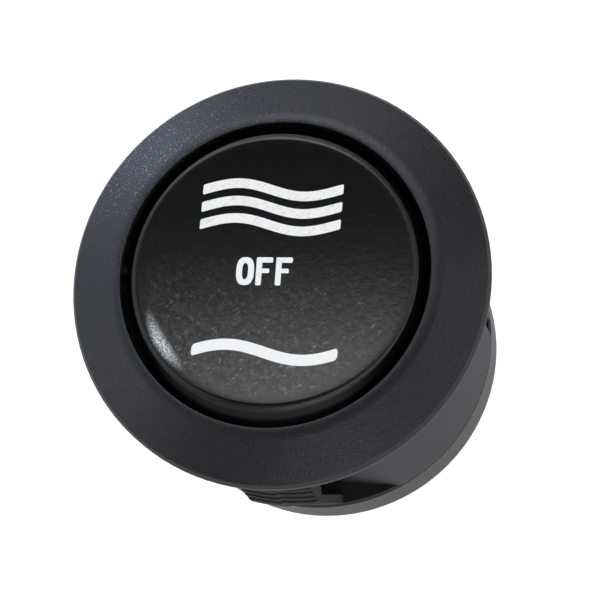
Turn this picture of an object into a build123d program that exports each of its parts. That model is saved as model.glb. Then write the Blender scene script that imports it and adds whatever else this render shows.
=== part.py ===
"""Round three-position rocker switch that snaps into a 20 mm panel hole.

Millimetres and degrees. The origin is the centre of the bezel's back face, which lies on the panel.
+Z points out of the panel through the rocker, +X runs along the rocker's pivot and +Y points to the
end of the rocker that is pressed for the high setting.
"""
import os
from math import cos, radians, sin, sqrt

from build123d import *

# Bezel and its opening
bezel_diameter = 23.0
bezel_rim_height = 0.55
bezel_rim_chamfer = 0.15
bezel_slope_top = 1.60
lip_edge_height = 1.75
lip_width = 0.70
lip_bands = 3
opening_diameter = 17.0

# Barrel behind the panel
barrel_diameter = 19.8
body_depth = 15.5
base_ring_height = 2.7
seam_chamfer = 0.15
finger_flat_distance = 8.3
well_wall = 1.6
ledge_wall = 0.8
key_slot_angle = 7.3
key_slot_width = 0.9
key_slot_depth = 0.6
key_slot_length = 6.0

# Snap fingers of the base cap
finger_width = 4.1
finger_thickness = 1.1
finger_crest_radius = 11.0
finger_crest_depth = 6.6
finger_step_length = 0.8
finger_step_height = 0.07
finger_tip_gap = 0.45
finger_corner_radius = 0.4
finger_shoulder_length = 0.8
finger_leg_thickness = 0.5
finger_root_inset = 0.15

# Rocker
rocker_throw = 9.0
pivot_depth = 1.0
skirt_gap = 0.3
skirt_bottom_height = 0.7
rocker_end_clearance = 0.25
face_radius = 7.65
face_centre_height = 1.85
face_end_rise = 0.5
face_edge_chamfer = 0.35
cap_thickness = 1.2
skirt_thickness = 1.0
cheek_width = 4.4
cheek_thickness = 1.2
cheek_gap = 0.65
trunnion_diameter = 2.4
trunnion_engagement = 0.75
web_thickness = 1.2
web_depth = 0.9

# Plunger and its spring, in the rocker's stem
stem_diameter = 4.6
plunger_diameter = 2.6
plunger_nose_radius = 0.8
plunger_neck_length = 0.5
plunger_exposed_length = 2.6
plunger_guided_length = 2.4
plunger_spigot_length = 1.2
plunger_spigot_clearance = 0.15
spring_wire_thickness = 0.26
spring_turns = 4.0
spring_roof_depth = 0.2

# Contact arm and contacts
arm_width = 4.4
arm_thickness = 0.5
arm_end_margin = 1.4
arm_corner_radius = 0.6
arm_groove_depth = 0.15
arm_trough_depth = 0.55
arm_to_rocker_ratio = 1.0
contact_reach = 4.6
contact_head_height = 0.5
contact_edge_chamfer = 0.1
moving_contact_diameter = 2.0
moving_contact_dome = 2.2
fixed_contact_diameter = 2.4

# Base cap and terminals
base_plug_height = 0.8
terminal_width = 4.8
terminal_thickness = 0.8
terminal_length = 7.5
terminal_tip_chamfer = 0.9
terminal_hole_diameter = 1.7
terminal_hole_to_tip = 2.6
terminal_bend_radius = 0.3
pad_half_length = 1.5
yoke_prong_width = 0.85
yoke_prong_overlap = 0.25
yoke_shoulder_width = 6.4
yoke_shoulder_height = 1.0

# Clearances
running_clearance = 0.05
slot_clearance = 0.05
plug_clearance = 0.05
contact_clearance = 0.05
nose_clearance = 0.03
spring_clearance = 0.10
spring_seat_clearance = 0.02
notch_clearance = 0.15

# Radii and levels that follow from the sizes above
bezel_radius = bezel_diameter / 2
opening_radius = opening_diameter / 2
barrel_radius = barrel_diameter / 2
finger_root_radius = barrel_radius - finger_root_inset
rocker_radius = opening_radius - skirt_gap
pivot_z = -pivot_depth
throw_sin = sin(radians(rocker_throw))
throw_cos = cos(radians(rocker_throw))
arm_tilt = rocker_throw * arm_to_rocker_ratio
tilt_sin = sin(radians(arm_tilt))
tilt_cos = cos(radians(arm_tilt))

# The ledge clears the skirt's lower edge at full throw
pressed_skirt_z = pivot_z + (skirt_bottom_height - pivot_z) * throw_cos - rocker_radius * throw_sin
ledge_z = pressed_skirt_z - rocker_end_clearance
flat_top_z = ledge_z - ledge_wall
well_half_length = finger_flat_distance - well_wall
rear_z = -body_depth
ring_front_z = rear_z + base_ring_height
floor_z = ring_front_z + base_plug_height
terminal_tip_z = rear_z - terminal_length

# The arm pivots at the height that closes a contact at full tilt
crossbar_radius = terminal_thickness / 2
fixed_contact_top_z = floor_z + terminal_thickness + contact_head_height
valley_above_pivot = arm_thickness - arm_groove_depth + crossbar_radius
wing_top_above_pivot = valley_above_pivot + arm_trough_depth
wing_under_above_pivot = wing_top_above_pivot - arm_thickness
dome_centre_above_pivot = wing_under_above_pivot - contact_head_height + moving_contact_dome
closed_dome_drop = dome_centre_above_pivot * tilt_cos - contact_reach * tilt_sin - moving_contact_dome
arm_pivot_z = fixed_contact_top_z + contact_clearance - closed_dome_drop
wing_top_z = arm_pivot_z + wing_top_above_pivot
wing_under_z = arm_pivot_z + wing_under_above_pivot
valley_z = arm_pivot_z + valley_above_pivot
arm_half_length = contact_reach + arm_end_margin
fixed_contact_reach = contact_reach * tilt_cos + dome_centre_above_pivot * tilt_sin

# The plunger's nose stays just clear of the trough over the whole throw
nose_centre_z = valley_z + nose_clearance + plunger_nose_radius
nose_arm = pivot_z - nose_centre_z
nose_above_pivot = nose_centre_z - arm_pivot_z
thrown_nose_y = nose_arm * throw_sin
thrown_nose_z = nose_above_pivot + nose_arm * (1 - throw_cos)
nose_shift = thrown_nose_y * tilt_cos - thrown_nose_z * tilt_sin
nose_rise = thrown_nose_y * tilt_sin + thrown_nose_z * tilt_cos - nose_above_pivot
nose_path_radius = (nose_shift**2 + nose_rise**2) / (2 * nose_rise)
trough_radius = nose_path_radius + plunger_nose_radius + nose_clearance

# Stem, plunger and spring follow the nose
nose_tip_z = valley_z + nose_clearance
stem_bottom_z = nose_tip_z + plunger_exposed_length
plunger_shoulder_z = stem_bottom_z + plunger_guided_length
bore_radius = plunger_diameter / 2 + running_clearance
spring_roof_z = -spring_roof_depth
spring_radius = bore_radius - spring_clearance - spring_wire_thickness / 2


def cylinder_z(radius, bottom, top, x=0.0, y=0.0):
    """A round post along Z between two levels."""
    return Pos(x, y, (bottom + top) / 2) * Cylinder(radius, top - bottom)


def cylinder_x(radius, start, end, y=0.0, z=0.0):
    """A round bar along X between two places."""
    return Pos((start + end) / 2, y, z) * Rot(0, 90, 0) * Cylinder(radius, abs(end - start))


def block(x_size, y_low, y_high, bottom, top):
    """A box centred on X, between two places along Y and two levels."""
    return Pos(0, (y_low + y_high) / 2, (bottom + top) / 2) * Box(x_size, y_high - y_low, top - bottom)


def both_ways(shape):
    """A shape and its copy turned half round the Z axis."""
    return shape + Rot(0, 0, 180) * shape


def turned(outline):
    """The solid turned from a closed outline in the XZ plane."""
    return revolve(Plane.XZ * make_face(outline), Axis.Z)


def well(clearance, bottom, top):
    """The round-sided shaft under the ledge, drawn in by a clearance."""
    shaft = cylinder_z(opening_radius - clearance, bottom, top)
    half_length = well_half_length - clearance
    return shaft & block(opening_diameter, -half_length, half_length, bottom, top)


def make_housing():
    """The bezel and the barrel, moulded in one."""
    lip_outer = opening_radius + lip_width
    slope = (bezel_slope_top - bezel_rim_height) / (bezel_radius - lip_outer)
    lip_start = (lip_outer, bezel_slope_top)
    lip_end = (opening_radius, lip_edge_height)
    lip_round = TangentArc(lip_start, lip_end, tangent=(-1, slope))
    lip = [lip_round @ (band / lip_bands) for band in range(lip_bands + 1)]
    body = turned(
        Polyline(
            *lip,
            (opening_radius, ledge_z),
            (0, ledge_z),
            (0, ring_front_z),
            (barrel_radius, ring_front_z),
            (barrel_radius, 0),
            (bezel_radius, 0),
            (bezel_radius, bezel_rim_height - bezel_rim_chamfer),
            (bezel_radius - bezel_rim_chamfer, bezel_rim_height + bezel_rim_chamfer * slope),
            close=True,
        )
    )
    body -= well(0, ring_front_z, ledge_z)
    flat = block(barrel_diameter, finger_flat_distance, barrel_radius, ring_front_z, flat_top_z)
    body -= both_ways(flat)
    socket_end = trunnion_end_x() + running_clearance
    socket_radius = trunnion_diameter / 2 + running_clearance
    socket = cylinder_x(socket_radius, opening_radius - skirt_gap, socket_end, z=pivot_z)
    body -= both_ways(socket)
    slot_middle_z = ring_front_z + key_slot_length / 2
    slot = Pos(barrel_radius, 0, slot_middle_z) * Box(2 * key_slot_depth, key_slot_width, key_slot_length)
    return body - Rot(0, 0, key_slot_angle) * slot


def trunnion_end_x():
    """How far out the trunnions reach."""
    return opening_radius + trunnion_engagement


def make_rocker():
    """The concave cap with its skirt, cheeks, trunnions, web and hollow stem, moulded in one."""
    face_arc = (face_radius**2 + face_end_rise**2) / (2 * face_end_rise)
    face_axis_z = face_centre_height + face_arc
    face_top_z = face_centre_height + face_end_rise
    draft = (rocker_radius - face_radius) / (face_top_z - skirt_bottom_height)
    blank_top_z = face_top_z + face_edge_chamfer
    blank_top_radius = face_radius - draft * face_edge_chamfer
    blank = turned(
        Polyline(
            (0, skirt_bottom_height),
            (rocker_radius, skirt_bottom_height),
            (blank_top_radius, blank_top_z),
            (0, blank_top_z),
            close=True,
        )
    )
    cap = blank - cylinder_x(face_arc, -rocker_radius, rocker_radius, z=face_axis_z)
    cap = chamfer(cap.faces().filter_by(GeomType.CYLINDER)[0].edges(), face_edge_chamfer)
    hollow = turned(
        Polyline(
            (0, skirt_bottom_height),
            (rocker_radius - skirt_thickness, skirt_bottom_height),
            (blank_top_radius - skirt_thickness, blank_top_z),
            (0, blank_top_z),
            close=True,
        )
    )
    cap -= hollow - cylinder_x(face_arc + cap_thickness, -rocker_radius, rocker_radius, z=face_axis_z)
    inside_z = face_centre_height - cap_thickness / 2
    cheek_outer = opening_radius - cheek_gap
    cheek_side = Rectangle(cheek_width, inside_z - pivot_z, align=(Align.CENTER, Align.MIN))
    cheek_side += Circle(cheek_width / 2)
    cheeks = extrude(Plane.YZ.offset(-cheek_outer) * Pos(0, pivot_z) * cheek_side, 2 * cheek_outer)
    cheeks &= cylinder_z(cheek_outer, pivot_z - cheek_width, inside_z)
    cheeks -= cylinder_z(cheek_outer - cheek_thickness, pivot_z - cheek_width, skirt_bottom_height)
    cheek_middle = cheek_outer - cheek_thickness / 2
    web = block(2 * cheek_middle, -web_thickness / 2, web_thickness / 2, -web_depth, inside_z)
    trunnion = cylinder_x(trunnion_diameter / 2, cheek_middle, trunnion_end_x(), z=pivot_z)
    stem = cylinder_z(stem_diameter / 2, stem_bottom_z, inside_z)
    rocker = cap + cheeks + web + stem + both_ways(trunnion)
    return rocker - cylinder_z(bore_radius, stem_bottom_z, spring_roof_z)


def make_plunger():
    """The round-nosed pin, with a spigot that centres the spring."""
    body_radius = plunger_diameter / 2
    spigot_radius = spring_radius - spring_wire_thickness / 2 - plunger_spigot_clearance
    neck_z = nose_centre_z + plunger_neck_length
    spigot_top_z = plunger_shoulder_z + plunger_spigot_length
    flanks = Polyline(
        (plunger_nose_radius, nose_centre_z),
        (plunger_nose_radius, neck_z),
        (body_radius, neck_z + body_radius - plunger_nose_radius),
        (body_radius, plunger_shoulder_z),
        (spigot_radius, plunger_shoulder_z),
        (spigot_radius, spigot_top_z),
        (0, spigot_top_z),
        (0, nose_tip_z),
    )
    nose = RadiusArc((0, nose_tip_z), (plunger_nose_radius, nose_centre_z), -plunger_nose_radius)
    return turned(flanks + nose)


def make_plunger_spring():
    """The coil spring between the plunger's shoulder and the roof of the stem's bore."""
    inset = spring_wire_thickness / 2 + spring_seat_clearance
    bottom_z = plunger_shoulder_z + inset
    height = spring_roof_z - inset - bottom_z
    coil = Pos(0, 0, bottom_z) * Helix(pitch=height / spring_turns, height=height, radius=spring_radius)
    wire_start = Plane(origin=coil @ 0, x_dir=(1, 0, 0), z_dir=coil % 0)
    wire = wire_start * Rectangle(spring_wire_thickness, spring_wire_thickness)
    return sweep(wire, path=coil, is_frenet=True)


def make_contact_arm():
    """The see-saw strip: a trough for the plunger between two level wings."""
    outer_radius = trough_radius + arm_thickness
    trough_half = sqrt(trough_radius**2 - (trough_radius - arm_trough_depth) ** 2)
    under_half = sqrt(outer_radius**2 - (outer_radius - arm_trough_depth) ** 2)
    top_arc = ThreePointArc((-trough_half, wing_top_z), (0, valley_z), (trough_half, wing_top_z))
    right_end = Polyline(
        (trough_half, wing_top_z),
        (arm_half_length, wing_top_z),
        (arm_half_length, wing_under_z),
        (under_half, wing_under_z),
    )
    under_arc = ThreePointArc(
        (under_half, wing_under_z),
        (0, valley_z - arm_thickness),
        (-under_half, wing_under_z),
    )
    left_end = Polyline(
        (-under_half, wing_under_z),
        (-arm_half_length, wing_under_z),
        (-arm_half_length, wing_top_z),
        (-trough_half, wing_top_z),
    )
    profile = Plane.YZ * make_face(top_arc + right_end + under_arc + left_end)
    strip = extrude(profile, arm_width / 2, both=True)
    strip = fillet(strip.edges().filter_by(Axis.Z), arm_corner_radius)
    strip -= cylinder_x(crossbar_radius + running_clearance, -arm_width, arm_width, z=arm_pivot_z)
    notch_inner = yoke_opening() / 2 - notch_clearance
    notch_half = crossbar_radius + wing_top_above_pivot * tilt_sin + notch_clearance
    notch = Pos((notch_inner + arm_width) / 2, 0, valley_z) * Box(
        arm_width - notch_inner, 2 * notch_half, 2 * wing_top_above_pivot
    )
    return strip - both_ways(notch)


def yoke_opening():
    """The width between the common terminal's two prongs."""
    return terminal_width - 2 * yoke_prong_width


def make_moving_contact(side):
    """A domed contact tip, brazed under one wing of the arm."""
    head_radius = moving_contact_diameter / 2
    tip_z = wing_under_z - contact_head_height
    dome_edge_z = tip_z + moving_contact_dome - sqrt(moving_contact_dome**2 - head_radius**2)
    flanks = Polyline(
        (head_radius, dome_edge_z),
        (head_radius, wing_under_z),
        (0, wing_under_z),
        (0, tip_z),
    )
    dome = RadiusArc((0, tip_z), (head_radius, dome_edge_z), -moving_contact_dome)
    return Pos(0, side * contact_reach, 0) * turned(flanks + dome)


def make_fixed_contact(side):
    """A flat contact tip, brazed on one outer terminal's pad."""
    head_radius = fixed_contact_diameter / 2
    pad_top_z = floor_z + terminal_thickness
    outline = Polyline(
        (0, pad_top_z),
        (head_radius, pad_top_z),
        (head_radius, fixed_contact_top_z - contact_edge_chamfer),
        (head_radius - contact_edge_chamfer, fixed_contact_top_z),
        (0, fixed_contact_top_z),
        close=True,
    )
    return Pos(0, side * fixed_contact_reach, 0) * turned(outline)


def blade_cuts(y):
    """What is cut from a blade's free end: its two corners and the latching hole."""
    corner = Pos(terminal_width / 2, y, terminal_tip_z) * Rot(0, 45, 0) * Box(
        terminal_tip_chamfer * sqrt(2), 2 * terminal_thickness, terminal_tip_chamfer * sqrt(2)
    )
    corners = corner + mirror(corner, Plane.YZ)
    hole_z = terminal_tip_z + terminal_hole_to_tip
    hole = Pos(0, y, hole_z) * Rot(90, 0, 0) * Cylinder(terminal_hole_diameter / 2, 2 * terminal_thickness)
    return corners + hole


def terminal_y():
    """The distance of each outer blade's middle from the switch's axis."""
    return fixed_contact_reach + pad_half_length - terminal_thickness / 2


def make_outer_terminal(side):
    """An outer blade, bent inwards at the top to a pad that carries a fixed contact."""
    outer = terminal_y() + terminal_thickness / 2
    inner = outer - terminal_thickness
    pad_end = fixed_contact_reach - pad_half_length
    pad_top_z = floor_z + terminal_thickness
    outline = Polyline(
        (inner, terminal_tip_z),
        (outer, terminal_tip_z),
        (outer, pad_top_z),
        (pad_end, pad_top_z),
        (pad_end, floor_z),
        (inner, floor_z),
        close=True,
    )
    side_face = make_face(outline)
    bend = side_face.vertices().group_by(Axis.Y)[-1].sort_by(Axis.X)[-1]
    side_face = fillet(bend, terminal_bend_radius + terminal_thickness / 2)
    blade = extrude(Plane.YZ * side_face, terminal_width / 2, both=True)
    blade -= blade_cuts(terminal_y())
    if side < 0:
        blade = Rot(0, 0, 180) * blade
    return blade


def make_common_terminal():
    """The middle blade, with the yoke and the rounded crossbar that the arm rocks on."""
    crossbar_top_z = arm_pivot_z + crossbar_radius
    prong_top_z = wing_top_z + yoke_prong_overlap
    half = terminal_thickness / 2
    plate = block(terminal_width, -half, half, terminal_tip_z, prong_top_z)
    plate += block(yoke_shoulder_width, -half, half, floor_z, floor_z + yoke_shoulder_height)
    plate -= block(yoke_opening(), -half, half, arm_pivot_z, prong_top_z)
    crossbar = cylinder_x(crossbar_radius, -yoke_opening() / 2, yoke_opening() / 2, z=arm_pivot_z)
    plate += crossbar
    return plate - blade_cuts(0)


def finger_half(side):
    """One half of a snap finger, whose steps lie half a step apart from the other half's."""
    crest_z = -finger_crest_depth
    if side > 0:
        crest_z -= finger_step_length / 2
    tip_z = flat_top_z - finger_tip_gap
    step_count = int((tip_z - crest_z) / finger_step_length)
    stairs = []
    for step in range(step_count):
        land = finger_crest_radius - step * finger_step_height
        stairs.append((land, crest_z + step * finger_step_length))
        stairs.append((land, crest_z + (step + 1) * finger_step_length))
    last_land = finger_crest_radius - step_count * finger_step_height
    ring = turned(
        Polyline(
            (finger_root_radius - finger_leg_thickness, ring_front_z),
            (finger_root_radius, ring_front_z),
            *stairs,
            (last_land, stairs[-1][1]),
            (last_land, tip_z),
            (last_land - finger_thickness, tip_z),
            (finger_crest_radius - finger_thickness, crest_z + finger_shoulder_length),
            (finger_crest_radius - finger_leg_thickness, crest_z),
            close=True,
        )
    )
    plan = Rectangle(finger_width / 2, finger_crest_radius, align=(Align.MIN, Align.MIN))
    plan = fillet(plan.vertices().group_by(Axis.X)[-1].sort_by(Axis.Y)[-1], finger_corner_radius)
    if side < 0:
        plan = mirror(plan, Plane.YZ)
    return ring & extrude(Pos(0, 0, ring_front_z) * plan, tip_z - ring_front_z)


def make_base_cap():
    """The round cap that closes the barrel: a ring with two snap fingers, a plug and the blades' slots."""
    cap = turned(
        Polyline(
            (0, rear_z),
            (barrel_radius, rear_z),
            (barrel_radius, ring_front_z - seam_chamfer),
            (barrel_radius - seam_chamfer, ring_front_z),
            (0, ring_front_z),
            close=True,
        )
    )
    cap += well(plug_clearance, ring_front_z, floor_z)
    cap += both_ways(finger_half(1) + finger_half(-1))
    slot_width = terminal_width + 2 * slot_clearance
    slot_half = terminal_thickness / 2 + slot_clearance
    for y in (-terminal_y(), 0.0, terminal_y()):
        cap -= block(slot_width, y - slot_half, y + slot_half, rear_z, floor_z)
    return cap


def write(name, shape):
    """Writes one piece to its own file."""
    export_step(shape, f"parts/{name}.step")


os.makedirs("parts", exist_ok=True)
write("housing", make_housing())
write("base_cap", make_base_cap())
write("rocker", make_rocker())
write("plunger", make_plunger())
write("plunger_spring", make_plunger_spring())
write("contact_arm", make_contact_arm())
write("terminal_common", make_common_terminal())
for level, side in (("high", -1), ("low", 1)):
    write(f"moving_contact_{level}", make_moving_contact(side))
    write(f"fixed_contact_{level}", make_fixed_contact(side))
    write(f"terminal_{level}", make_outer_terminal(side))
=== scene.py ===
"""The dressed round rocker switch: moulded, printed and metal finishes, a plain studio and a camera."""

import logging
import math
from dataclasses import dataclass
from enum import Enum
from functools import cache
from typing import Any

import bmesh
import bpy
from mathutils import Matrix, Vector


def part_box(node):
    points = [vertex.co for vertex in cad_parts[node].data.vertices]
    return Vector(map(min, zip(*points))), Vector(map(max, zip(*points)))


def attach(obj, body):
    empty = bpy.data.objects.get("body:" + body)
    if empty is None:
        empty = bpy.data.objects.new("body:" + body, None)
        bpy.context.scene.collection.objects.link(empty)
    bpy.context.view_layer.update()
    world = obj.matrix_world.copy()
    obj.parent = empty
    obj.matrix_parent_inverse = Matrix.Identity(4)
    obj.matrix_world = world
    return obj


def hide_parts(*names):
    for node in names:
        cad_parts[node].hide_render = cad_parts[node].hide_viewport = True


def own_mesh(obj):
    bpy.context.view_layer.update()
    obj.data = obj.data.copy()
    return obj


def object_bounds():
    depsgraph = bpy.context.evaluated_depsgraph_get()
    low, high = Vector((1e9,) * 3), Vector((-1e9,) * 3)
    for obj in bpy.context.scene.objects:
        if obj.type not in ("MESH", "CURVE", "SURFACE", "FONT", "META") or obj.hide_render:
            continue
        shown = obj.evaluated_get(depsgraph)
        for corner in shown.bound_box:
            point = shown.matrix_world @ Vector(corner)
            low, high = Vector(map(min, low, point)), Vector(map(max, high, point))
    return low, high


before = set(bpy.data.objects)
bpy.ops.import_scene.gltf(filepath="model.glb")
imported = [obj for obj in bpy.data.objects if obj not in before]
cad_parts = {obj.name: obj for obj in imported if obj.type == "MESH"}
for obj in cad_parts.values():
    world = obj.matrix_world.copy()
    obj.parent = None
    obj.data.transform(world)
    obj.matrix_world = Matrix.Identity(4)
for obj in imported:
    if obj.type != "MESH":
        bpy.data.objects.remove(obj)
cad_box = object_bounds()

MM = 0.001
MERGE_DISTANCE = 0.0002 * MM
# The bevel profile that makes a round edge
ROUND_PROFILE = 0.5
# The weight of a conic arc's corner that makes a right-angled arc round
QUARTER_ARC_WEIGHT = math.sqrt(0.5)
# The Mix node's colour sockets go by place, because its other sockets have the same names.
MIX_FIRST_COLOUR = 6
MIX_SECOND_COLOUR = 7
MIX_COLOUR_RESULT = 2
log = logging.getLogger("rocker_switch")

Colour = tuple[float, float, float]
Triple = tuple[float, float, float]
Point = tuple[float, float]
Span = tuple[float, float]


class Value:
    """A number in a node tree that can stand in a Python expression."""

    def __init__(self, graph: "Graph", socket: bpy.types.NodeSocket) -> None:
        """Holds the socket and the tree that it belongs to."""
        self.graph = graph
        self.socket = socket

    def math(self, operation: str, first: Any, second: Any = 0.0) -> "Value":
        """Adds one Math node.

        Args:
            operation: The Math node's operation.
            first: The first number or value.
            second: The second number or value.

        Returns:
            The node's result.
        """
        node = self.graph.node("ShaderNodeMath", {"operation": operation}, {0: first, 1: second})
        return Value(self.graph, node.outputs[0])

    def __add__(self, other: Any) -> "Value":
        """This value plus another."""
        return self.math("ADD", self, other)

    def __radd__(self, other: Any) -> "Value":
        """Another number plus this value."""
        return self.math("ADD", other, self)

    def __sub__(self, other: Any) -> "Value":
        """This value less another."""
        return self.math("SUBTRACT", self, other)

    def __rsub__(self, other: Any) -> "Value":
        """Another number less this value."""
        return self.math("SUBTRACT", other, self)

    def __mul__(self, other: Any) -> "Value":
        """This value times another."""
        return self.math("MULTIPLY", self, other)

    def __rmul__(self, other: Any) -> "Value":
        """Another number times this value."""
        return self.math("MULTIPLY", other, self)

    def __truediv__(self, other: Any) -> "Value":
        """This value over another."""
        return self.math("DIVIDE", self, other)

    def __neg__(self) -> "Value":
        """This value with its sign turned."""
        return self.math("SUBTRACT", 0.0, self)

    def __abs__(self) -> "Value":
        """This value without its sign."""
        return self.math("ABSOLUTE", self)

    def root(self) -> "Value":
        """The square root."""
        return self.math("SQRT", self)

    def sine(self) -> "Value":
        """The sine of an angle in radians."""
        return self.math("SINE", self)

    def cosine(self) -> "Value":
        """The cosine of an angle in radians."""
        return self.math("COSINE", self)

    def at_least(self, low: float) -> "Value":
        """This value, or the given one where it is lower."""
        return self.math("MAXIMUM", self, low)

    def swing(self, amount: float) -> "Value":
        """This value's distance from 0.5, times the given amount."""
        return amount * (self - 0.5)

    def between(self, low: float, high: float) -> "Value":
        """A smooth rise from 0 at the low value to 1 at the high one."""
        node = self.graph.node(
            "ShaderNodeMapRange",
            {"interpolation_type": "SMOOTHSTEP"},
            {"Value": self, "From Min": low, "From Max": high},
        )
        return Value(self.graph, node.outputs["Result"])


class Graph:
    """A node tree that is built from Python."""

    def __init__(self, tree: bpy.types.NodeTree) -> None:
        """Holds the tree and empties it."""
        self.tree = tree
        self.tree.nodes.clear()

    def node(self, kind: str, settings: dict[str, Any] | None = None,
             sockets: dict[Any, Any] | None = None) -> bpy.types.Node:
        """Adds a node.

        Args:
            kind: The node's type.
            settings: The node's own settings, which are set first.
            sockets: A number, colour, value or socket for each input, by name or place.

        Returns:
            The new node.
        """
        node = self.tree.nodes.new(kind)
        for name, setting in (settings or {}).items():
            setattr(node, name, setting)
        for name, content in (sockets or {}).items():
            if isinstance(content, Value):
                self.tree.links.new(content.socket, node.inputs[name])
            elif isinstance(content, bpy.types.NodeSocket):
                self.tree.links.new(content, node.inputs[name])
            else:
                node.inputs[name].default_value = content
        return node


class Shading(Graph):
    """A material's node tree, with the patterns that the finishes share."""

    noise_roughness: float = 0.55
    fleck_core: Span = (0.25, 0.50)
    fleck_blur: float = 0.01

    def __init__(self, name: str) -> None:
        """Makes an empty material.

        Args:
            name: The material's name.
        """
        self.material = bpy.data.materials.new(name)
        self.material.use_nodes = True
        super().__init__(self.material.node_tree)
        self.place = self.node("ShaderNodeTexCoord").outputs["Object"]

    def axis(self, name: str) -> Value:
        """The distance along one of the piece's own axes, in millimetres."""
        parts = self.node("ShaderNodeSeparateXYZ", None, {0: self.place})
        return Value(self, parts.outputs[name]) / MM

    def noise(self, size: float, detail: float = 2.0, stretch: Triple = (1, 1, 1),
              turn: Triple = (0, 0, 0), seed: float = 0.0) -> Value:
        """Cloudy noise on the piece's own coordinates.

        Args:
            size: The size of a speck in millimetres.
            detail: How many finer layers lie on top.
            stretch: How many times longer a speck is along each turned axis.
            turn: The turn of the axes in degrees.
            seed: Shifts the pattern.

        Returns:
            A value that varies round 0.5.
        """
        turned = self.node(
            "ShaderNodeMapping",
            {"vector_type": "TEXTURE"},
            {
                "Vector": self.place,
                "Location": (seed * MM, seed * MM, 0),
                "Rotation": tuple(math.radians(angle) for angle in turn),
                "Scale": stretch,
            },
        )
        node = self.node(
            "ShaderNodeTexNoise",
            {"noise_dimensions": "3D"},
            {
                "Vector": turned.outputs[0],
                "Scale": 1 / (size * MM),
                "Detail": detail,
                "Roughness": self.noise_roughness,
            },
        )
        return Value(self, node.outputs["Fac"])

    def blend(self, share: Value, first: Colour | bpy.types.NodeSocket,
              second: Colour) -> bpy.types.NodeSocket:
        """One colour going over to another.

        Args:
            share: How much of the second colour shows.
            first: The first colour, or the socket that gives it.
            second: The second colour.

        Returns:
            The mixed colour's socket.
        """
        ground = (*first, 1) if isinstance(first, tuple) else first
        node = self.node(
            "ShaderNodeMix",
            {"data_type": "RGBA"},
            {"Factor": share, MIX_FIRST_COLOUR: ground, MIX_SECOND_COLOUR: (*second, 1)},
        )
        return node.outputs[MIX_COLOUR_RESULT]

    def relief(self, height: Value, depth: float,
               normal: bpy.types.NodeSocket | None = None) -> bpy.types.NodeSocket:
        """Small unevenness.

        Args:
            height: A value from 0 to 1.
            depth: The height of 1 in millimetres.
            normal: The normal that the unevenness lies on, if it isn't the surface's own.

        Returns:
            The normal's socket.
        """
        sockets = {"Height": height, "Distance": depth * MM}
        if normal:
            sockets["Normal"] = normal
        return self.node("ShaderNodeBump", None, sockets).outputs[0]

    def flecks(self, size: float, share: float, lean: float,
               strength: Value) -> tuple[Value, bpy.types.NodeSocket]:
        """Small round flecks that lean each its own way.

        Args:
            size: The size of a fleck in millimetres.
            share: The share of the places for a fleck that have one.
            lean: The sideways part of the most leaning fleck's normal.
            strength: How clearly they show, from 0 to 1.

        Returns:
            The strength on a fleck and 0 beside it, and the normal's socket.
        """
        cells = self.node(
            "ShaderNodeTexVoronoi", {"feature": "F1"}, {"Vector": self.place, "Scale": 1 / (size * MM)})
        chance = self.node("ShaderNodeSeparateXYZ", None, {0: cells.outputs["Color"]})
        core = 1 - Value(self, cells.outputs["Distance"]).between(*self.fleck_core)
        bare = 1 - share
        taken = Value(self, chance.outputs["Z"]).between(bare - self.fleck_blur, bare + self.fleck_blur)
        fleck = taken * core * strength
        right = Value(self, chance.outputs["X"]).swing(2 * lean) * fleck
        up = Value(self, chance.outputs["Y"]).swing(2 * lean) * fleck
        aside = self.node("ShaderNodeCombineXYZ", None, {"X": right, "Y": up})
        surface = self.node("ShaderNodeNewGeometry").outputs["Normal"]
        leaning = self.node(
            "ShaderNodeVectorMath", {"operation": "ADD"}, {0: surface, 1: aside.outputs[0]})
        unit = self.node(
            "ShaderNodeVectorMath", {"operation": "NORMALIZE"}, {0: leaning.outputs[0]})
        return fleck, unit.outputs[0]

    def surface(self, sockets: dict[str, Any]) -> None:
        """Ends the tree in one shader.

        Args:
            sockets: The shader's inputs.
        """
        shader = self.node("ShaderNodeBsdfPrincipled", None, sockets)
        self.node("ShaderNodeOutputMaterial", None, {"Surface": shader.outputs[0]})


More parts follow.
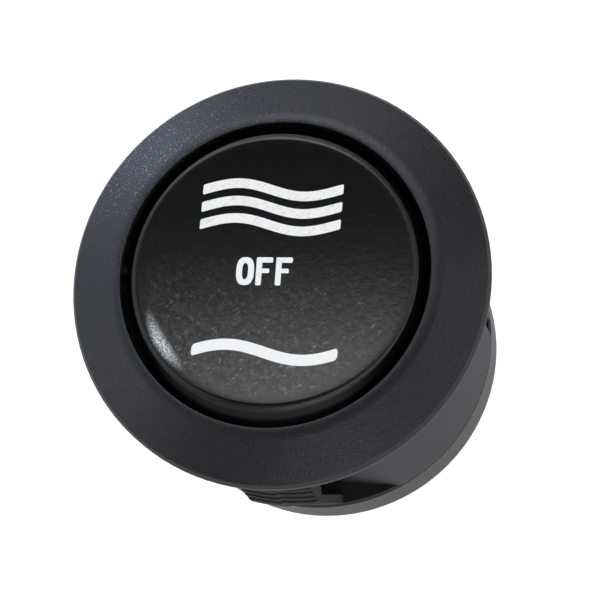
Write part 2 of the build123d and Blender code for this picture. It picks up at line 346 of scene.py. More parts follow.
class Rule(Graph):
    """A Geometry Nodes tree with named inputs for its sizes, which is run once."""

    def __init__(self, name: str, sizes: dict[str, float | int]) -> None:
        """Makes an empty tree.

        Args:
            name: The tree's name.
            sizes: The tree's inputs, in metres or as plain numbers.
        """
        super().__init__(bpy.data.node_groups.new(name, "GeometryNodeTree"))
        self.name = name
        self.sizes = sizes
        self.identifiers: dict[str, str] = {}
        self.tree.interface.new_socket("Geometry", in_out="OUTPUT", socket_type="NodeSocketGeometry")
        for label, size in sizes.items():
            kind = "NodeSocketInt" if isinstance(size, int) else "NodeSocketFloat"
            socket = self.tree.interface.new_socket(label, in_out="INPUT", socket_type=kind)
            self.identifiers[label] = socket.identifier
        self.given = self.node("NodeGroupInput")

    def size(self, label: str) -> Value:
        """One of the tree's inputs."""
        return Value(self, self.given.outputs[label])

    def run(self, geometry: bpy.types.NodeSocket, finish: "Finish") -> bmesh.types.BMesh:
        """Ends the tree and runs it.

        Args:
            geometry: The socket that gives the tree's result.
            finish: The result's finish.

        Returns:
            The result as working geometry.
        """
        solid = self.node("GeometryNodeRealizeInstances", None, {"Geometry": geometry})
        dressed = self.node(
            "GeometryNodeSetMaterial", None,
            {"Geometry": solid.outputs["Geometry"], "Material": material_of(finish)})
        self.node("NodeGroupOutput", None, {0: dressed.outputs["Geometry"]})
        carrier = bpy.data.objects.new(self.name, bpy.data.meshes.new(self.name))
        bpy.context.scene.collection.objects.link(carrier)
        modifier = carrier.modifiers.new("rule", "NODES")
        modifier.node_group = self.tree
        for label, size in self.sizes.items():
            modifier[self.identifiers[label]] = size
        evaluated = carrier.evaluated_get(bpy.context.evaluated_depsgraph_get())
        plain = bpy.data.meshes.new_from_object(evaluated)
        bm = bmesh.new()
        bm.from_mesh(plain)
        bpy.data.objects.remove(carrier)
        bpy.data.meshes.remove(plain)
        return bm


@dataclass(frozen=True)
class Finish:
    """A surface finish with its name and its record slot."""

    name: str
    slot: str
    colour: Colour
    roughness: float

    def wire(self, shading: Shading) -> None:
        """Wires the finish into an empty material."""
        raise NotImplementedError


@dataclass(frozen=True)
class GrainedMoulding(Finish):
    """Black nylon with a fine grain and smooth flecks that sparkle where a lamp shines, with a painted
    sparkle tint.

    Lengths are in millimetres. A span gives the value where a change begins and where it is full.
    """

    grain: float = 0.06
    depth: float = 0.014
    patch: float = 0.72
    patch_gloss: float = 0.10
    # The flecks' paler, bluer colour is a painted sparkle tint, strongest at the upper left where the
    # lamp shines; their gloss and lean are real.
    fleck: Colour = (0.012, 0.013, 0.017)
    fleck_size: float = 0.13
    fleck_share: float = 0.75
    fleck_lean: float = 0.11
    fleck_gloss: float = 0.27
    lamp_sparkle_place: Point = (-6.6, 7.4)
    lamp_sparkle_fade: Span = (4.0, 9.0)
    lamp_sparkle_faint: float = 0.45
    gloss_tint: Colour = (0.90, 0.895, 1.0)
    shine: float = 0.53
    matt: float = 0.73
    front: Span = (0.35, 0.60)

    def wire(self, shading: Shading) -> None:
        """Wires the finish into an empty material."""
        fine = shading.noise(self.grain, detail=1)
        broad = shading.noise(self.patch, detail=2, seed=3.1)
        front = shading.axis("Z").between(*self.front)
        # The flecks, and their painted sparkle tint, are strongest round this place at the upper left.
        right = shading.axis("X") - self.lamp_sparkle_place[0]
        up = shading.axis("Y") - self.lamp_sparkle_place[1]
        away = (right * right + up * up).root().between(*self.lamp_sparkle_fade)
        strength = 1 - away * (1 - self.lamp_sparkle_faint)
        flecks, leaning = shading.flecks(self.fleck_size, self.fleck_share, self.fleck_lean, strength)
        gloss = self.roughness + broad.swing(self.patch_gloss) - self.fleck_gloss * flecks
        shading.surface({
            "Base Color": shading.blend(flecks, self.colour, self.fleck),
            "Roughness": self.matt + front * (gloss - self.matt),
            "Normal": shading.relief(fine, self.depth, leaning),
            "Specular IOR Level": self.shine,
            "Specular Tint": (*self.gloss_tint, 1),
        })


@dataclass(frozen=True)
class SatinMoulding(Finish):
    """Satin black nylon: soft unevenness, dusting with painted glints, a dull rim, a rim patch of
    scuffing and painted glint.

    Lengths are in millimetres and angles in degrees. A span gives the value where a change begins and
    where it is full.
    """

    mark: float = 0.17
    mark_stretch: float = 1.5
    blotch: float = 0.34
    dot: float = 0.085
    cloud: float = 1.02
    cloud_gloss: float = 0.04
    slant: float = 38.0
    depth: float = 0.0065
    # The pale specks and film on the lower half of the face are partly dusting and partly painted
    # glints where the face catches the light.
    dust_glint: Colour = (0.135, 0.135, 0.135)
    dust_glint_below: Span = (-1.5, 2.5)
    dust_glint_within: Span = (6.6, 7.2)
    dust_glint_share: float = 0.6
    more_dust_glint: float = 0.5
    more_dust_glint_below: Span = (2.0, 5.5)
    film: Span = (0.42, 0.72)
    film_share: float = 0.20
    speck: Span = (0.57, 0.78)
    speck_cloud: Span = (0.35, 0.62)
    # The pale patch along the rim at the lower left is partly scuffing and partly a painted glint of a
    # lamp on the rounded edge.
    glint_scuff: Colour = (0.85, 0.85, 0.85)
    glint_scuff_direction: float = -143.5
    glint_scuff_radius: float = 7.08
    glint_scuff_half: Point = (2.3, 0.46)
    glint_scuff_fade: float = 0.9
    glint_scuff_ground: float = 0.30
    glint_scuff_dot: Span = (0.42, 0.64)
    rim_roughness: float = 0.48
    rim_radius: float = 7.65
    rim_widening: float = 0.167
    rim_span: Span = (7.50, 7.72)
    side: Span = (7.80, 7.90)
    dull_side_below: Span = (3.5, 6.5)
    # Painted light: the lower wall, which faces the front lamp, is coloured lighter than the rest of
    # the rocker.
    wall: Colour = (0.026, 0.026, 0.026)
    lit_wall_span: Span = (7.70, 7.85)
    lit_wall_below: Span = (5.0, 7.3)

    def in_glint_scuff(self, x: Value, y: Value, radius: Value) -> Value:
        """How far a place lies within the rim patch that is partly scuffing and partly a painted glint.

        Args:
            x: The place's distance along the rocker's axle.
            y: Its distance towards the end with three bars.
            radius: Its distance from the middle.

        Returns:
            1 in the middle of the patch, 0 outside.
        """
        turn = math.radians(self.glint_scuff_direction)
        near_side = (x * math.cos(turn) + y * math.sin(turn)).between(0.0, 1.0)
        along = abs(y * math.cos(turn) - x * math.sin(turn)) / self.glint_scuff_half[0]
        across = abs(radius - self.glint_scuff_radius) / self.glint_scuff_half[1]
        return (1 - (along * along + across * across).root()).between(0.0, self.glint_scuff_fade) * near_side

    def dulled(self, y: Value, radius: Value) -> Value:
        """How dull a place is: the rim and the lower wall are, the face and the other walls aren't.

        Args:
            y: The place's distance towards the end with three bars.
            radius: Its distance from the middle.

        Returns:
            1 where the surface is dull, 0 where it is satin.
        """
        # The face is wider along the axle than towards its ends. This makes up for it.
        rim = radius + y * y * (self.rim_widening / self.rim_radius**2)
        clean = rim.between(*self.side) * (1 - (-y).between(*self.dull_side_below))
        return rim.between(*self.rim_span) * (1 - clean)

    def wire(self, shading: Shading) -> None:
        """Wires the finish into an empty material."""
        turn = (0, 0, self.slant)
        marks = shading.noise(self.mark, detail=1, stretch=(self.mark_stretch, 1, 1), turn=turn)
        blotches = shading.noise(self.blotch, detail=2, turn=turn, seed=4.2)
        dots = shading.noise(self.dot, detail=1, seed=9.3)
        clouds = shading.noise(self.cloud, detail=2, seed=1.3)
        x = shading.axis("X")
        y = shading.axis("Y")
        radius = (x * x + y * y).root()
        # Pale specks and film, denser towards the lower end: partly dusting, partly painted glints.
        dust_glint_mask = (-y).between(*self.dust_glint_below) * (1 - radius.between(*self.dust_glint_within))
        film = blotches.between(*self.film) * self.film_share
        specks = marks.between(*self.speck) * clouds.between(*self.speck_cloud)
        dust_glint_share = self.dust_glint_share + self.more_dust_glint * (-y).between(*self.more_dust_glint_below)
        # The pale rim patch: partly scuffing, partly a painted glint of a lamp on the rim.
        rubbed_glint = self.glint_scuff_ground + (1 - self.glint_scuff_ground) * dots.between(*self.glint_scuff_dot)
        # Painted light on the lower wall where it faces the front lamp.
        lit_lower_wall = radius.between(*self.lit_wall_span) * (-y).between(*self.lit_wall_below)
        lit_walled = shading.blend(lit_lower_wall, self.colour, self.wall)
        dust_glint_coloured = shading.blend(dust_glint_mask * (film + specks) * dust_glint_share, lit_walled, self.dust_glint)
        satin = self.roughness + clouds.swing(self.cloud_gloss)
        shading.surface({
            "Base Color": shading.blend(rubbed_glint * self.in_glint_scuff(x, y, radius), dust_glint_coloured, self.glint_scuff),
            "Roughness": satin + self.dulled(y, radius) * (self.rim_roughness - self.roughness),
            "Normal": shading.relief(blotches, self.depth),
        })


@dataclass(frozen=True)
class PrintedInk(Finish):
    """White pad-printed ink with slanting hairlines towards one end, in millimetres and degrees."""

    worn: Colour = (0.55, 0.55, 0.55)
    worn_share: float = 0.7
    worn_above: Span = (-2.0, 3.0)
    hair: float = 0.07
    hair_stretch: float = 7.0
    hair_slant: float = 38.0
    hair_span: Span = (0.55, 0.72)
    mottle: float = 0.4
    mottle_gloss: float = 0.1
    depth: float = 0.002

    def wire(self, shading: Shading) -> None:
        """Wires the finish into an empty material."""
        turn = (0, 0, self.hair_slant)
        lines = shading.noise(self.hair, detail=2, stretch=(self.hair_stretch, 1, 1), turn=turn)
        hairs = lines.between(*self.hair_span)
        mottle = shading.noise(self.mottle, detail=2, seed=2.2)
        pressed = shading.axis("Y").between(*self.worn_above)
        shading.surface({
            "Base Color": shading.blend(hairs * pressed * self.worn_share, self.colour, self.worn),
            "Roughness": self.roughness + mottle.swing(self.mottle_gloss),
            "Normal": shading.relief(mottle, self.depth),
        })


@dataclass(frozen=True)
class NaturalMoulding(Finish):
    """Uncoloured nylon with a faint cloudiness, in millimetres."""

    shade: Colour = (0.66, 0.64, 0.58)
    cloud: float = 0.8
    cloud_span: Span = (0.35, 0.7)
    cloud_gloss: float = 0.12
    grain: float = 0.12
    depth: float = 0.002

    def wire(self, shading: Shading) -> None:
        """Wires the finish into an empty material."""
        cloud = shading.noise(self.cloud, detail=3)
        shading.surface({
            "Base Color": shading.blend(cloud.between(*self.cloud_span), self.colour, self.shade),
            "Roughness": self.roughness + cloud.swing(self.cloud_gloss),
            "Normal": shading.relief(shading.noise(self.grain, seed=5.0), self.depth),
        })


@dataclass(frozen=True)
class WorkedMetal(Finish):
    """Metal with the lines of its rolling or drawing and a slight tarnish, in millimetres."""

    tarnish: Colour = (0.4, 0.36, 0.3)
    tarnish_share: float = 0.35
    stain: float = 1.3
    stain_span: Span = (0.45, 0.75)
    stain_gloss: float = 0.12
    line: float = 0.03
    line_stretch: Triple = (1, 1, 25)
    line_gloss: float = 0.18
    depth: float = 0.0015

    def wire(self, shading: Shading) -> None:
        """Wires the finish into an empty material."""
        lines = shading.noise(self.line, detail=2, stretch=self.line_stretch)
        stain = shading.noise(self.stain, detail=4, seed=6.4).between(*self.stain_span)
        shading.surface({
            "Base Color": shading.blend(stain * self.tarnish_share, self.colour, self.tarnish),
            "Metallic": 1.0,
            "Roughness": self.roughness + lines.swing(self.line_gloss) + self.stain_gloss * stain,
            "Normal": shading.relief(lines, self.depth),
        })


BEZEL_NYLON = GrainedMoulding(
    name="grained_black_nylon", slot="black_nylon", colour=(0.0090, 0.0090, 0.0095), roughness=0.42)
BASE_NYLON = GrainedMoulding(
    name="plain_black_nylon", slot="black_nylon_base", colour=(0.008, 0.008, 0.0075), roughness=0.90,
    depth=0.004, fleck_lean=0.03, gloss_tint=(0.96, 0.96, 1.0), shine=0.38, matt=0.52,
    front=(-12.7, -12.4))
ROCKER_NYLON = SatinMoulding(
    name="satin_black_nylon", slot="black_rocker", colour=(0.003, 0.003, 0.003), roughness=0.22)
WHITE_INK = PrintedInk(
    name="white_print", slot="black_rocker", colour=(0.99, 0.99, 0.98), roughness=0.5)
PLUNGER_NYLON = NaturalMoulding(
    name="natural_nylon", slot="white_nylon", colour=(0.78, 0.77, 0.72), roughness=0.4)
SPRING_WIRE = WorkedMetal(
    name="drawn_spring_steel", slot="spring_steel", colour=(0.55, 0.55, 0.56), roughness=0.3,
    line_stretch=(6, 6, 1))
ARM_STRIP = WorkedMetal(
    name="rolled_copper_strip", slot="copper_strip", colour=(0.72, 0.42, 0.27), roughness=0.32,
    tarnish=(0.36, 0.17, 0.10), line_stretch=(1, 25, 1))
CONTACT_SILVER = WorkedMetal(
    name="silver_tip", slot="silver_contact", colour=(0.82, 0.81, 0.79), roughness=0.26,
    tarnish=(0.5, 0.47, 0.42), line_stretch=(1, 1, 1))
BLADE_TIN = WorkedMetal(
    name="tinned_brass", slot="plated_brass", colour=(0.62, 0.60, 0.55), roughness=0.28,
    tarnish=(0.42, 0.38, 0.31))


@cache
def material_of(finish: Finish) -> bpy.types.Material:
    """The material of a finish, made once.

    Args:
        finish: The finish.

    Returns:
        Its material.
    """
    shading = Shading(finish.name)
    finish.wire(shading)
    return shading.material


class Edge(Enum):
    """How far the edges of a piece are rounded, in millimetres."""

    MOULDED = 0.05
    STAMPED = 0.03


def mesh_from(bm: bmesh.types.BMesh, name: str) -> bpy.types.Mesh:
    """Turns working geometry into a plain mesh.

    Args:
        bm: The working geometry, which is freed.
        name: The mesh's name.

    Returns:
        A mesh with nothing but its points and faces.
    """
    bm.verts.index_update()
    points = [vert.co.copy() for vert in bm.verts]
    faces = [[vert.index for vert in face.verts] for face in bm.faces]
    bm.free()
    mesh = bpy.data.meshes.new(name)
    mesh.from_pydata(points, [], faces)
    return mesh


def merged_copy(node: str) -> bmesh.types.BMesh:
    """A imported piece's triangles, joined along their edges.

    Args:
        node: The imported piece's name.

    Returns:
        The working geometry.
    """
    bm = bmesh.new()
    bm.from_mesh(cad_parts[node].data)
    bmesh.ops.remove_doubles(bm, verts=bm.verts, dist=MERGE_DISTANCE)
    return bm


def smooth(mesh: bpy.types.Mesh, sharp_angle: float) -> None:
    """Shades a mesh smooth but for its sharp edges.

    Args:
        mesh: The mesh.
        sharp_angle: The angle in degrees from which an edge stays sharp.
    """
    mesh.shade_smooth()
    mesh.set_sharp_from_angle(angle=math.radians(sharp_angle))


def put(name: str, mesh: bpy.types.Mesh, finish: Finish, body: str, *nodes: str) -> bpy.types.Object:
    """Puts a finished piece in the scene and ties it to its body.

    Args:
        name: The piece's name.
        mesh: Its mesh, in its place.
        finish: Its finish.
        body: The body that it moves with.
        nodes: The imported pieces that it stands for.

    Returns:
        The piece.
    """
    piece = bpy.data.objects.new(name, mesh)
    bpy.context.scene.collection.objects.link(piece)
    mesh.materials.clear()
    mesh.materials.append(material_of(finish))
    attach(piece, body)
    if nodes:
        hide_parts(*nodes)
    log.info("%s: %d faces on %s", name, len(mesh.polygons), body)
    return piece


def dress(node: str, finish: Finish) -> None:
    """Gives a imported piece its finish.

    Args:
        node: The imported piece's name.
        finish: Its finish.
    """
    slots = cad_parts[node].material_slots
    for slot in slots:
        slot.material = material_of(finish)
    log.info("%s: %s", node, finish.name)


@dataclass(frozen=True)
class Shell:
    """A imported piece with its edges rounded, with its angles in degrees."""

    node: str
    body: str
    finish: Finish
    edge: Edge
    least_turn: float = 24.0
    flat_turn: float = 0.4
    sharp_turn: float = 40.0
    round_steps: int = 2
    face_weight: int = 80

    def build(self) -> bpy.types.Object:
        """Rounds the edges and puts the piece in the scene.

        Returns:
            The piece.
        """
        bm = merged_copy(self.node)
        flat = math.radians(self.flat_turn)
        bmesh.ops.dissolve_limit(bm, angle_limit=flat, verts=bm.verts, edges=bm.edges)
        turn = math.radians(self.least_turn)
        shared = [edge for edge in bm.edges if len(edge.link_faces) == 2]
        bmesh.ops.bevel(
            bm, geom=[edge for edge in shared if edge.calc_face_angle() > turn],
            offset=self.edge.value * MM, offset_type="OFFSET", segments=self.round_steps,
            profile=ROUND_PROFILE, affect="EDGES", clamp_overlap=True)
        mesh = mesh_from(bm, f"{self.node}_shell")
        smooth(mesh, self.sharp_turn)
        piece = put(f"{self.node}_shell", mesh, self.finish, self.body, self.node)
        weighted = piece.modifiers.new("even_shading", "WEIGHTED_NORMAL")
        weighted.keep_sharp = True
        weighted.weight = self.face_weight
        return piece


@dataclass(frozen=True)
class Rocker:
    """The rocker with a rounded edge round its hollow face, in millimetres and degrees."""

    skirt_radius: float = 8.2
    skirt_bottom: float = 0.7
    face_radius: float = 7.65
    face_centre: float = 1.85
    face_rise: float = 0.5
    end_round: float = 0.36
    side_round: float = 0.14
    round_steps: int = 8
    face_rings: int = 26
    fit_steps: int = 4
    foot_margin: float = 0.01
    wall_from: float = 7.0
    outward: float = 0.3
    sharp_turn: float = 50.0

    def face_height(self, y: float) -> float:
        """The height of the hollow face.

        Args:
            y: The distance from the middle towards the pressed ends.

        Returns:
            The height above the panel.
        """
        arc = (self.face_radius**2 + self.face_rise**2) / (2 * self.face_rise)
        return self.face_centre + arc - math.sqrt(arc**2 - y**2)

    def profile(self, angle: float) -> list[Point]:
        """The outline from the skirt's foot over the edge to the middle of the face.

        Args:
            angle: The direction of the outline round the axis.

        Returns:
            Points as distances from the axis and heights, without the foot and the middle.
        """
        side = math.sin(angle)
        top = self.face_centre + self.face_rise
        draft = (self.skirt_radius - self.face_radius) / (top - self.skirt_bottom)
        # The wall leans in while the face rises, so the edge between them is found in a few steps.
        edge_radius = self.face_radius
        for _ in range(self.fit_steps):
            wall_height = self.face_height(edge_radius * side) - self.skirt_bottom
            edge_radius = self.skirt_radius - draft * wall_height
        edge_height = self.face_height(edge_radius * side)
        edge_round = self.side_round + (self.end_round - self.side_round) * side**2
        low = Vector((edge_radius + draft * edge_round, edge_height - edge_round))
        inner = edge_radius - edge_round
        high = Vector((inner, self.face_height(inner * side)))
        corner = Vector((edge_radius, edge_height))
        points = []
        # The rounding is a conic arc from the wall to the face, drawn towards the corner.
        for step in range(self.round_steps + 1):
            share = step / self.round_steps
            weight = QUARTER_ARC_WEIGHT * 2 * share * (1 - share)
            total = (1 - share) ** 2 + weight + share**2
            point = (low * (1 - share) ** 2 + corner * weight + high * share**2) / total
            points.append((point.x, point.y))
        for ring in range(1, self.face_rings):
            distance = inner * (1 - ring / self.face_rings)
            points.append((distance, self.face_height(distance * side)))
        return points

    def uncapped(self) -> bmesh.types.BMesh:
        """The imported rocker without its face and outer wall.

        Returns:
            The working geometry, open round the skirt's foot.
        """
        bm = merged_copy("rocker")
        foot = (self.skirt_bottom + self.foot_margin) * MM
        outer = []
        for face in bm.faces:
            middle = face.calc_center_median()
            radial = Vector((middle.x, middle.y, 0))
            outside = radial.length > self.wall_from * MM
            on_wall = outside and face.normal.dot(radial.normalized()) > self.outward
            if middle.z > foot and (face.normal.z > self.outward or on_wall):
                outer.append(face)
        bmesh.ops.delete(bm, geom=outer, context="FACES")
        return bm

    def build(self) -> bpy.types.Object:
        """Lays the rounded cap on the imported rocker's lower half.

        Returns:
            The piece.
        """
        bm = self.uncapped()
        rim = [vert for vert in bm.verts if vert.is_boundary]
        rim.sort(key=lambda vert: math.atan2(vert.co.y, vert.co.x))
        outlines = []
        for vert in rim:
            angle = math.atan2(vert.co.y, vert.co.x)
            right = math.cos(angle) * MM
            up = math.sin(angle) * MM
            points = [bm.verts.new((r * right, r * up, z * MM)) for r, z in self.profile(angle)]
            outlines.append([vert] + points)
        middle = bm.verts.new((0, 0, self.face_centre * MM))
        for first, second in zip(outlines, outlines[1:] + outlines[:1]):
            for a, b, c, d in zip(first, second, second[1:], first[1:]):
                bm.faces.new((a, b, c, d))
            bm.faces.new((first[-1], second[-1], middle))
        mesh = mesh_from(bm, "rocker_shell")
        smooth(mesh, self.sharp_turn)
        return put("rocker_shell", mesh, ROCKER_NYLON, "rocker", "rocker")


@dataclass(frozen=True)
class WavyBars:
    """Equal wavy bars, one below the other, in millimetres."""

    name: str
    left: float
    right: float
    height: float
    slope: float
    swing: float
    crossing: float
    wave: float
    thickness: float
    corner: float
    count: int
    pitch: float
    points_along: int = 129
    points_across: int = 3

    def sizes(self) -> dict[str, float | int]:
        """The rule's named inputs, in metres or as plain numbers."""
        return {
            "Length": (self.right - self.left) * MM,
            "Start": self.left * MM,
            "Height": self.height * MM,
            "Slope": self.slope,
            "Swing": self.swing * MM,
            "Crossing": self.crossing * MM,
            "Radians per metre": 2 * math.pi / (self.wave * MM),
            "Thickness": self.thickness * MM,
            "Corner": self.corner * MM,
            "Pitch": -self.pitch * MM,
            "Count": self.count,
        }

    def outline(self) -> bmesh.types.BMesh:
        """Builds and runs the rule that draws the bars.

        Returns:
            The flat bars as working geometry.
        """
        rule = Rule(self.name, self.sizes())
        size = {label: rule.size(label) for label in self.sizes()}
        strip = rule.node(
            "GeometryNodeMeshGrid", None,
            {
                "Size X": size["Length"],
                "Size Y": size["Thickness"],
                "Vertices X": self.points_along,
                "Vertices Y": self.points_across,
            },
        )
        position = rule.node("GeometryNodeInputPosition")
        place = rule.node("ShaderNodeSeparateXYZ", None, {0: position.outputs[0]})
        along = Value(rule, place.outputs["X"])
        across = Value(rule, place.outputs["Y"])
        x = along + size["Start"] + size["Length"] * 0.5
        angle = (x - size["Crossing"]) * size["Radians per metre"]
        middle = size["Height"] + size["Slope"] * x - size["Swing"] * angle.sine()
        steep = size["Slope"] - size["Swing"] * size["Radians per metre"] * angle.cosine()
        # Within a corner's length of its end, the strip gets narrower along a quarter circle.
        over = (size["Corner"] - (size["Length"] * 0.5 - abs(along))).at_least(0)
        trim = size["Corner"] - (size["Corner"] * size["Corner"] - over * over).at_least(0).root()
        y = middle + across * (1 - 2 * trim / size["Thickness"]) * (steep * steep + 1).root()
        wavy = rule.node(
            "GeometryNodeSetPosition", None,
            {
                "Geometry": strip.outputs["Mesh"],
                "Position": rule.node("ShaderNodeCombineXYZ", None, {"X": x, "Y": y}).outputs[0],
            },
        )
        step = rule.node("ShaderNodeCombineXYZ", None, {"Y": size["Pitch"]})
        rows = rule.node(
            "GeometryNodeMeshLine",
            {"mode": "OFFSET"},
            {"Count": size["Count"], "Offset": step.outputs[0]},
        )
        bars = rule.node(
            "GeometryNodeInstanceOnPoints", None,
            {"Points": rows.outputs["Mesh"], "Instance": wavy.outputs["Geometry"]})
        return rule.run(bars.outputs["Instances"], WHITE_INK)


HIGH_BARS = WavyBars(
    name="high_setting_print", left=-4.30, right=3.42, height=4.54, slope=0.014, swing=0.333,
    crossing=-0.51, wave=7.1, thickness=0.525, corner=0.05, count=3, pitch=0.965)
LOW_BAR = WavyBars(
    name="low_setting_print", left=-3.97, right=3.95, height=-4.476, slope=0.051, swing=0.455,
    crossing=-0.04, wave=8.6, thickness=0.62, corner=0.16, count=1, pitch=1.0)


@dataclass(frozen=True)
class Word:
    """The printed word in bold upright letters, in millimetres and degrees."""

    left: float = -2.03
    middle: float = 0.01
    turn: float = 1.8
    height: float = 1.56
    corner: float = 0.07
    letter_width: float = 0.98
    stroke: float = 0.31
    second_start: float = 1.09
    third_start: float = 2.16
    letter_f_width: float = 0.90
    middle_arm: float = 0.72
    arm_gap: float = 0.33
    ring_boldness: float = 1.06
    arm_boldness: float = 0.95
    middle_arm_boldness: float = 0.85
    squareness: float = 2.6
    round_steps: int = 40
    corner_steps: int = 3

    def ring(self, bm: bmesh.types.BMesh) -> None:
        """Draws the round letter as a band between two squarish ovals."""
        loops = []
        power = 2 / self.squareness
        for inset in (0.0, self.stroke * self.ring_boldness):
            half_width = self.letter_width / 2 - inset
            half_height = self.height / 2 - inset
            loop = []
            for step in range(self.round_steps):
                angle = 2 * math.pi * step / self.round_steps
                right = math.cos(angle)
                up = math.sin(angle)
                x = math.copysign(abs(right) ** power, right) * half_width
                y = math.copysign(abs(up) ** power, up) * half_height
                loop.append(bm.verts.new((self.letter_width / 2 + x, y, 0)))
            loops.append(loop)
        outer, inner = loops
        for step in range(self.round_steps):
            after = (step + 1) % self.round_steps
            bm.faces.new((outer[step], outer[after], inner[after], inner[step]))

    def letter_f(self, bm: bmesh.types.BMesh, start: float) -> None:
        """Draws one letter with a stem and two arms.

        Args:
            bm: The working geometry.
            start: Where its stem begins.
        """
        top = self.height / 2
        arm = self.stroke * self.arm_boldness
        low_arm_top = top - arm - self.arm_gap
        low_arm = low_arm_top - arm * self.middle_arm_boldness
        outline = [
            (0, -top), (self.stroke, -top), (self.stroke, low_arm), (self.middle_arm, low_arm),
            (self.middle_arm, low_arm_top), (self.stroke, low_arm_top), (self.stroke, top - arm),
            (self.letter_f_width, top - arm), (self.letter_f_width, top), (0, top)]
        corners = [bm.verts.new((start + x, y, 0)) for x, y in outline]
        bm.faces.new(corners)
        # The corners between the stem and its arms stay sharp.
        outside = [corners[i] for i in (0, 1, 3, 4, 7, 8, 9)]
        bmesh.ops.bevel(
            bm, geom=outside, offset=self.corner, segments=self.corner_steps, profile=ROUND_PROFILE,
            affect="VERTICES")

    def outline(self) -> bmesh.types.BMesh:
        """Draws the word.

        Returns:
            The flat word as working geometry, in metres.
        """
        bm = bmesh.new()
        self.letter_f(bm, self.second_start)
        self.letter_f(bm, self.third_start)
        self.ring(bm)
        width = self.third_start + self.letter_f_width
        centre = Matrix.Translation((-width / 2, 0, 0))
        turned = Matrix.Rotation(math.radians(self.turn), 4, "Z")
        placed = Matrix.Translation((self.left + width / 2, self.middle, 0))
        bm.transform(Matrix.Scale(MM, 4) @ placed @ turned @ centre)
        bmesh.ops.triangulate(bm, faces=[face for face in bm.faces if len(face.verts) > 4])
        return bm


@dataclass(frozen=True)
class Legend:
    """The white print on the rocker's face, in millimetres and degrees."""

    rocker: Rocker
    word: Word
    high: WavyBars
    low: WavyBars
    proud: float = 0.012
    sunk: float = 0.02
    sharp_turn: float = 30.0

    def drape(self, bm: bmesh.types.BMesh, name: str) -> bpy.types.Object:
        """Lays a flat print on the hollow face as a thin closed film.

        Args:
            bm: The flat print.
            name: The piece's name.

        Returns:
            The piece.
        """
        bmesh.ops.recalc_face_normals(bm, faces=bm.faces)
        lifted = bmesh.ops.extrude_face_region(bm, geom=list(bm.faces))["geom"]
        film = {part for part in lifted if isinstance(part, bmesh.types.BMVert)}
        for vert in bm.verts:
            height = self.rocker.face_height(vert.co.y / MM)
            vert.co.z = (height + (self.proud if vert in film else -self.sunk)) * MM
        bmesh.ops.recalc_face_normals(bm, faces=bm.faces)
        mesh = mesh_from(bm, name)
        smooth(mesh, self.sharp_turn)
        return put(name, mesh, WHITE_INK, "rocker")

    def build(self) -> None:
        """Prints the bars and the word."""
        self.drape(self.high.outline(), self.high.name)
        self.drape(self.word.outline(), "off_print")
        self.drape(self.low.outline(), self.low.name)


@dataclass(frozen=True)
class Mouldings:
    """The bezel with its barrel, and the base cap with its snap fingers."""

    edge: Edge = Edge.MOULDED

    def build(self) -> None:
        """Makes both mouldings."""
        Shell("housing", "housing", BEZEL_NYLON, self.edge, least_turn=11.0).build()
        Shell("base_cap", "housing", BASE_NYLON, self.edge).build()


@dataclass(frozen=True)
class PlungerSpring:
    """The round-wire coil spring over the plunger, in millimetres and degrees."""

    wire: float = 0.26
    turns: float = 4.0
    roof: float = -0.2
    seat_gap: float = 0.02
    travel: float = 0.5
    steps: int = 160
    wire_sides: int = 12
    sharp_turn: float = 50.0

    def build(self) -> bpy.types.Object:
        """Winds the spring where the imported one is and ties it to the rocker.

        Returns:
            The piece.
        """
        low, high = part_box("plunger_spring")
        rule = Rule("plunger_spring_coil", {
            "Coil radius": (high.x - low.x - self.wire * MM) / 2,
            "Height": high.z - low.z - self.wire * MM,
            "Turns": self.turns,
            "Wire radius": self.wire * MM / 2,
            "Steps": self.steps,
            "Wire sides": self.wire_sides,
        })
        coil = rule.node("GeometryNodeCurveSpiral", None, {
            "Resolution": rule.size("Steps") / rule.size("Turns"),
            "Rotations": rule.size("Turns"),
            "Start Radius": rule.size("Coil radius"),
            "End Radius": rule.size("Coil radius"),
            "Height": rule.size("Height"),
            "Reverse": True,
        })
        section = rule.node(
            "GeometryNodeCurvePrimitiveCircle", None,
            {"Resolution": rule.size("Wire sides"), "Radius": rule.size("Wire radius")})
        tube = rule.node(
            "GeometryNodeCurveToMesh", None,
            {"Curve": coil.outputs[0], "Profile Curve": section.outputs["Curve"], "Fill Caps": True})
        bm = rule.run(tube.outputs["Mesh"], SPRING_WIRE)
        bm.transform(Matrix.Translation((0, 0, low.z + self.wire * MM / 2)))
        bmesh.ops.recalc_face_normals(bm, faces=bm.faces)
        mesh = mesh_from(bm, "coiled_spring")
        smooth(mesh, self.sharp_turn)
        spring = put("coiled_spring", mesh, SPRING_WIRE, "rocker", "plunger_spring")
        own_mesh(spring)
        return spring


@dataclass(frozen=True)
class Contacts:
    """The blades behind the panel and the see-saw inside."""

    edge: Edge = Edge.STAMPED

    def build(self) -> None:
        """Makes the blades and dresses what is inside."""
        for name in ("terminal_common", "terminal_high", "terminal_low"):
            Shell(name, "housing", BLADE_TIN, self.edge).build()
        for side in ("high", "low"):
            dress(f"fixed_contact_{side}", CONTACT_SILVER)
            dress(f"moving_contact_{side}", CONTACT_SILVER)
        dress("contact_arm", ARM_STRIP)
        dress("plunger", PLUNGER_NYLON)


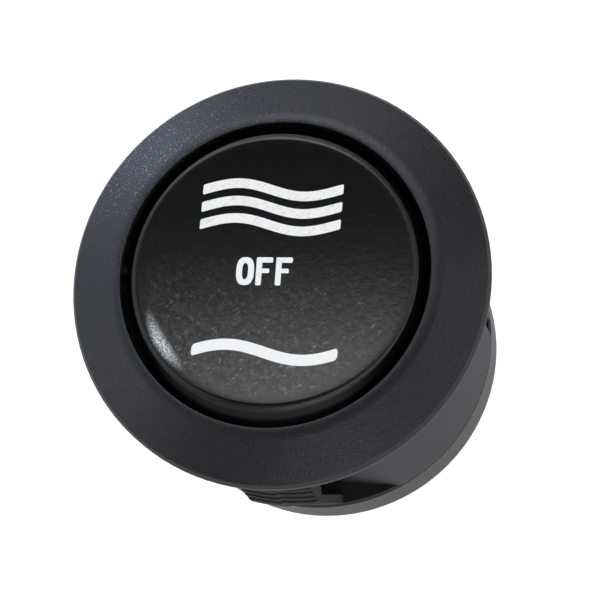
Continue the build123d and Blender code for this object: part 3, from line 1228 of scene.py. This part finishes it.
@dataclass(frozen=True)
class Softbox:
    """A soft lamp that faces the switch, in metres and degrees."""

    name: str
    towards: Triple
    width: float
    height: float
    radiance: float
    distance: float = 0.6
    roll: float = 0.0
    colour: Colour = (1, 1, 1)

    def build(self) -> None:
        """Hangs the lamp."""
        lamp = bpy.data.lights.new(self.name, "AREA")
        lamp.shape = "RECTANGLE"
        lamp.size = self.width
        lamp.size_y = self.height
        lamp.energy = self.radiance * math.pi * self.width * self.height
        lamp.color = self.colour
        holder = bpy.data.objects.new(self.name, lamp)
        direction = Vector(self.towards).normalized()
        turn = direction.to_track_quat("Z", "Y").to_matrix().to_4x4()
        rolled = turn @ Matrix.Rotation(math.radians(self.roll), 4, "Z")
        holder.matrix_world = Matrix.Translation(direction * self.distance) @ rolled
        bpy.context.scene.collection.objects.link(holder)


LAMPS = (
    Softbox(
        name="overhead_softbox", towards=(-0.075, 0.664, 0.744), width=0.345, height=0.442,
        radiance=2.92, roll=8.7),
    Softbox(
        name="back_left_softbox", towards=(-0.668, 0.561, 0.488), width=0.497, height=0.501,
        radiance=1.20, colour=(0.92, 0.98, 1.12)),
    Softbox(
        name="back_left_lamp", towards=(-0.67, 0.68, 0.29), width=0.06, height=0.06, radiance=31.0,
        colour=(0.78, 0.95, 1.28)),
    Softbox(
        name="front_softbox", towards=(0.271, -0.797, 0.540), width=0.389, height=0.274, radiance=4.0),
    Softbox(
        name="right_softbox", towards=(0.852, -0.075, 0.518), width=0.670, height=0.180, radiance=3.5),
    Softbox(
        name="left_softbox", towards=(-0.825, -0.185, 0.534), width=0.40, height=0.40, radiance=1.5),
)


@dataclass(frozen=True)
class Studio:
    """The pale floor, the lamps and the camera.

    The floor's gap, the grain of its colour, the camera's place and its lens are in millimetres, the
    floor's width and the camera's range in metres.
    """

    floor_width: float = 3.0
    floor_gap: float = 0.05
    floor_colour: Colour = (0.6, 0.6, 0.6)
    floor_shade: Colour = (0.588, 0.588, 0.588)
    floor_cloud: float = 60.0
    floor_roughness: float = 0.8
    floor_glow: float = 0.75
    world_strength: float = 0.06
    lens: float = 144.65
    sensor: float = 36.0
    seen: Span = (0.01, 10.0)
    eye: Triple = (29.01, -34.33, 122.29)
    right: Triple = (0.97584, 0.09823, -0.19518)
    up: Triple = (-0.04241, 0.96141, 0.27182)
    back: Triple = (0.21434, -0.25697, 0.94235)

    def floor(self) -> None:
        """Lays the floor under the blades' tips."""
        half = self.floor_width / 2
        height = cad_box[0].z - self.floor_gap * MM
        mesh = bpy.data.meshes.new("floor")
        square = ((-half, -half), (half, -half), (half, half), (-half, half))
        mesh.from_pydata([(x, y, height) for x, y in square], [], [(0, 1, 2, 3)])
        shading = Shading("pale_floor")
        cloud = shading.noise(self.floor_cloud, detail=2)
        shading.surface({
            "Base Color": shading.blend(cloud, self.floor_colour, self.floor_shade),
            "Roughness": self.floor_roughness,
            "Emission Color": (1, 1, 1, 1),
            "Emission Strength": self.floor_glow,
        })
        mesh.materials.append(shading.material)
        floor = bpy.data.objects.new("floor", mesh)
        bpy.context.scene.collection.objects.link(floor)

    def light(self) -> None:
        """Sets the lamps and the dim room round them."""
        for lamp in LAMPS:
            lamp.build()
        world = bpy.data.worlds.new("room")
        world.use_nodes = True
        background = world.node_tree.nodes["Background"]
        background.inputs["Color"].default_value = (1, 1, 1, 1)
        background.inputs["Strength"].default_value = self.world_strength
        bpy.context.scene.world = world

    def camera(self) -> None:
        """Stands the camera where the photograph was taken."""
        data = bpy.data.cameras.new("camera")
        data.lens = self.lens
        data.sensor_width = self.sensor
        data.clip_start, data.clip_end = self.seen
        camera = bpy.data.objects.new("camera", data)
        turn = Matrix((self.right, self.up, self.back)).transposed().to_4x4()
        camera.matrix_world = Matrix.Translation(Vector(self.eye) * MM) @ turn
        bpy.context.scene.collection.objects.link(camera)
        bpy.context.scene.camera = camera

    def build(self) -> None:
        """Sets the studio up."""
        self.floor()
        self.light()
        self.camera()
        bpy.context.scene.view_settings.view_transform = "Standard"


def main() -> None:
    """Builds the switch piece by piece, then the studio."""
    logging.basicConfig(level=logging.INFO, format="%(message)s")
    Mouldings().build()
    rocker = Rocker()
    rocker.build()
    Legend(rocker, Word(), HIGH_BARS, LOW_BAR).build()
    Contacts().build()
    PlungerSpring().build()
    Studio().build()


if __name__ == "__main__":
    main()
